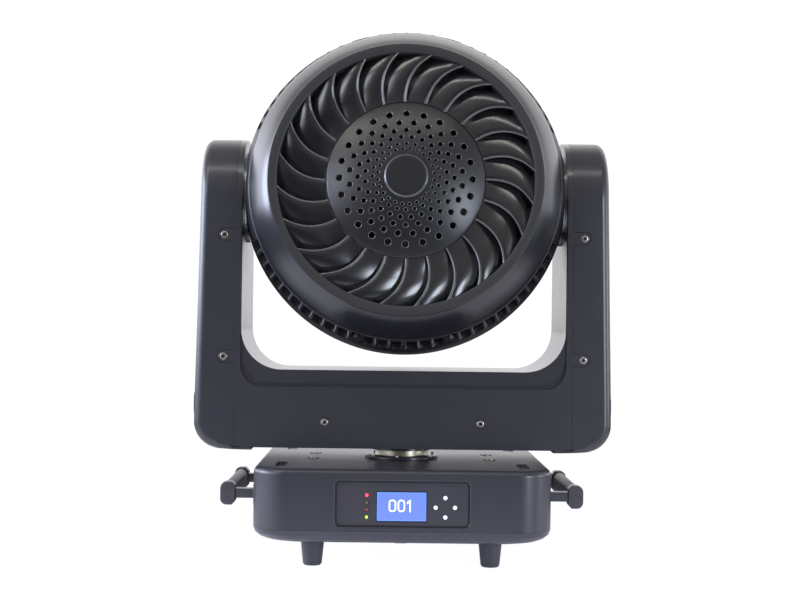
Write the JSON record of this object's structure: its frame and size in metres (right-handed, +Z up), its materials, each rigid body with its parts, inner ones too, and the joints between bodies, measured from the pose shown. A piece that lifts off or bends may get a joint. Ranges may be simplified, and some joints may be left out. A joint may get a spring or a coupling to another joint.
{
  "type": "moving head light",
  "caption": "Wash-type moving head stage light: box base with handles and display, pan yoke, and a tilting round head with a swirl rear vent, fan and zooming lens array.",
  "frame": {"origin": "on the floor under the pan axis, in the plane of the rubber feet's soles", "axes": "+Z up along the pan axis; -Y is the display side of the base, and at rest the side the head's rear vent faces; +X to the right of someone looking at the display; the tilt axis is parallel to X"},
  "size_m": [0.436, 0.2715, 0.5508],
  "materials": {
    "housing_plastic": "satin moulded, fine texture, charcoal black",
    "tray_plastic": "satin moulded, charcoal black",
    "foot_rubber": "matt",
    "grip_rubber": "matt, ribbed sleeve",
    "handle_metal": "black powder coat",
    "screw_steel": "plated, warm tone",
    "zinc_plate": "yellow-passivated zinc, satin",
    "panel_black": "smooth black film panel",
    "lcd_blue": "backlit display, blue with white digits",
    "led_lens": "tinted epoxy, lit; red, amber, red and green in turn",
    "button_white": "white",
    "pcb_green": "solder mask",
    "psu_steel": "galvanised sheet",
    "rear_plate": "black enamel",
    "power_blue": "blue and grey connector bodies",
    "connector_metal": "nickel plate",
    "fuse_black": "black",
    "cast_alloy": "machined",
    "frame_paint": "satin grey-black paint",
    "cover_plastic": "satin moulded, charcoal black",
    "pad_plastic": "matt textured",
    "bearing_steel": "ground",
    "motor_black": "black with bare end caps",
    "belt_rubber": "black",
    "shell_plastic": "satin to gloss moulded, charcoal black",
    "swirl_gloss": "glossy black",
    "vent_satin": "satin dark grey",
    "fan_black": "black",
    "sink_alloy": "extruded",
    "led_white": "white solder mask with emitters",
    "carrier_black": "black anodised look",
    "lens_clear": "clear moulded lenses",
    "bezel_plastic": "gloss black",
    "window_glass": "clear"
  },
  "bodies": {
    "base": {"base_tray": "tray_plastic", "base_housing": "housing_plastic", "rubber_feet": "foot_rubber", "clamp_sockets": "zinc_plate", "base_screws": "screw_steel", "display_panel": "panel_black", "lcd_module": "lcd_blue", "indicator_leds": "led_lens", "control_board": "pcb_green", "handle_left": "handle_metal", "handle_right": "handle_metal", "handle_grip_left": "grip_rubber", "handle_grip_right": "grip_rubber", "power_supply": "psu_steel", "rear_panel": "rear_plate", "power_connectors": "power_blue", "data_connectors": "connector_metal", "fuse_holder": "fuse_black", "pan_post": "zinc_plate", "pan_fixed_pulley": "cast_alloy"},
    "yoke": {"yoke_frame": "frame_paint", "yoke_cover_left": "cover_plastic", "yoke_cover_right": "cover_plastic", "yoke_plate_front": "cover_plastic", "yoke_plate_rear": "cover_plastic", "yoke_screws": "screw_steel", "side_pads": "pad_plastic", "pan_bearing": "bearing_steel", "tilt_bearings": "bearing_steel", "pan_motor": "motor_black", "pan_belt": "belt_rubber", "tilt_motor": "motor_black", "tilt_belt": "belt_rubber", "driver_board": "pcb_green"},
    "head": {"head_rear_shell": "shell_plastic", "swirl_grille": "swirl_gloss", "vent_disc": "vent_satin", "vent_cap": "vent_satin", "head_front_shell": "shell_plastic", "head_chassis": "cast_alloy", "trunnions": "cast_alloy", "tilt_driven_pulley": "cast_alloy", "head_screws": "screw_steel", "fan_frame": "fan_black", "heat_sink": "sink_alloy", "led_board": "led_white", "zoom_motors": "motor_black", "front_bezel": "bezel_plastic", "front_window": "window_glass"},
    "zoom_carriage": {"lens_carrier": "carrier_black", "lens_array": "lens_clear"},
    "zoom_screw_upper": {"zoom_screw_upper": "bearing_steel"},
    "zoom_screw_lower": {"zoom_screw_lower": "bearing_steel"},
    "fan_rotor": {"fan_rotor": "fan_black"},
    "pan_drive_pulley": {"pan_drive_pulley": "cast_alloy"},
    "tilt_drive_pulley": {"tilt_drive_pulley": "cast_alloy"},
    "button_up": {"button_up": "button_white"},
    "button_down": {"button_down": "button_white"},
    "button_left": {"button_left": "button_white"},
    "button_right": {"button_right": "button_white"}
  },
  "joints": [
    {"name": "pan", "type": "hinge", "parent": "base", "child": "yoke", "pos_m": [0, 0, 0.126], "axis": [0, 0, 1], "range_deg": [-270, 270]},
    {"name": "tilt", "type": "hinge", "parent": "yoke", "child": "head", "pos_m": [0, 0, 0.378], "axis": [1, 0, 0], "range_deg": [-13, 207]},
    {"name": "zoom", "type": "slide", "parent": "head", "child": "zoom_carriage", "axis": [0, 0.9925, -0.1219], "range_m": [0, 0.03]},
    {"name": "zoom_screw_upper_spin", "type": "hinge", "parent": "head", "child": "zoom_screw_upper", "pos_m": [0, 0.04708, 0.51528], "axis": [0, 0.9925, -0.1219], "range_deg": [-1, 1400]},
    {"name": "zoom_screw_lower_spin", "type": "hinge", "parent": "head", "child": "zoom_screw_lower", "pos_m": [0, 0.01247, 0.2334], "axis": [0, 0.9925, -0.1219], "range_deg": [-1, 1400]},
    {"name": "fan_spin", "type": "hinge", "parent": "head", "child": "fan_rotor", "pos_m": [0, -0.0794, 0.38775], "axis": [0, 0.9925, -0.1219], "continuous": true},
    {"name": "pan_motor_spin", "type": "hinge", "parent": "yoke", "child": "pan_drive_pulley", "pos_m": [0.105, 0, 0.1414], "axis": [0, 0, 1], "range_deg": [-1300, 1300]},
    {"name": "tilt_motor_spin", "type": "hinge", "parent": "yoke", "child": "tilt_drive_pulley", "pos_m": [-0.2, 0, 0.266], "axis": [1, 0, 0], "range_deg": [-80, 1000]},
    {"name": "button_up_press", "type": "slide", "parent": "base", "child": "button_up", "axis": [0, 1, 0], "range_m": [0, 0.0008], "stiffness_N_per_m": 600},
    {"name": "button_down_press", "type": "slide", "parent": "base", "child": "button_down", "axis": [0, 1, 0], "range_m": [0, 0.0008], "stiffness_N_per_m": 600},
    {"name": "button_left_press", "type": "slide", "parent": "base", "child": "button_left", "axis": [0, 1, 0], "range_m": [0, 0.0008], "stiffness_N_per_m": 600},
    {"name": "button_right_press", "type": "slide", "parent": "base", "child": "button_right", "axis": [0, 1, 0], "range_m": [0, 0.0008], "stiffness_N_per_m": 600}
  ],
  "couplings": [
    {"joint": "zoom_screw_upper_spin", "follows": "zoom", "rad_per_m": 785.4},
    {"joint": "zoom_screw_lower_spin", "follows": "zoom", "rad_per_m": 785.4},
    {"joint": "pan_motor_spin", "follows": "pan", "ratio": -4.7368},
    {"joint": "tilt_motor_spin", "follows": "tilt", "ratio": 4.7368}
  ]
}
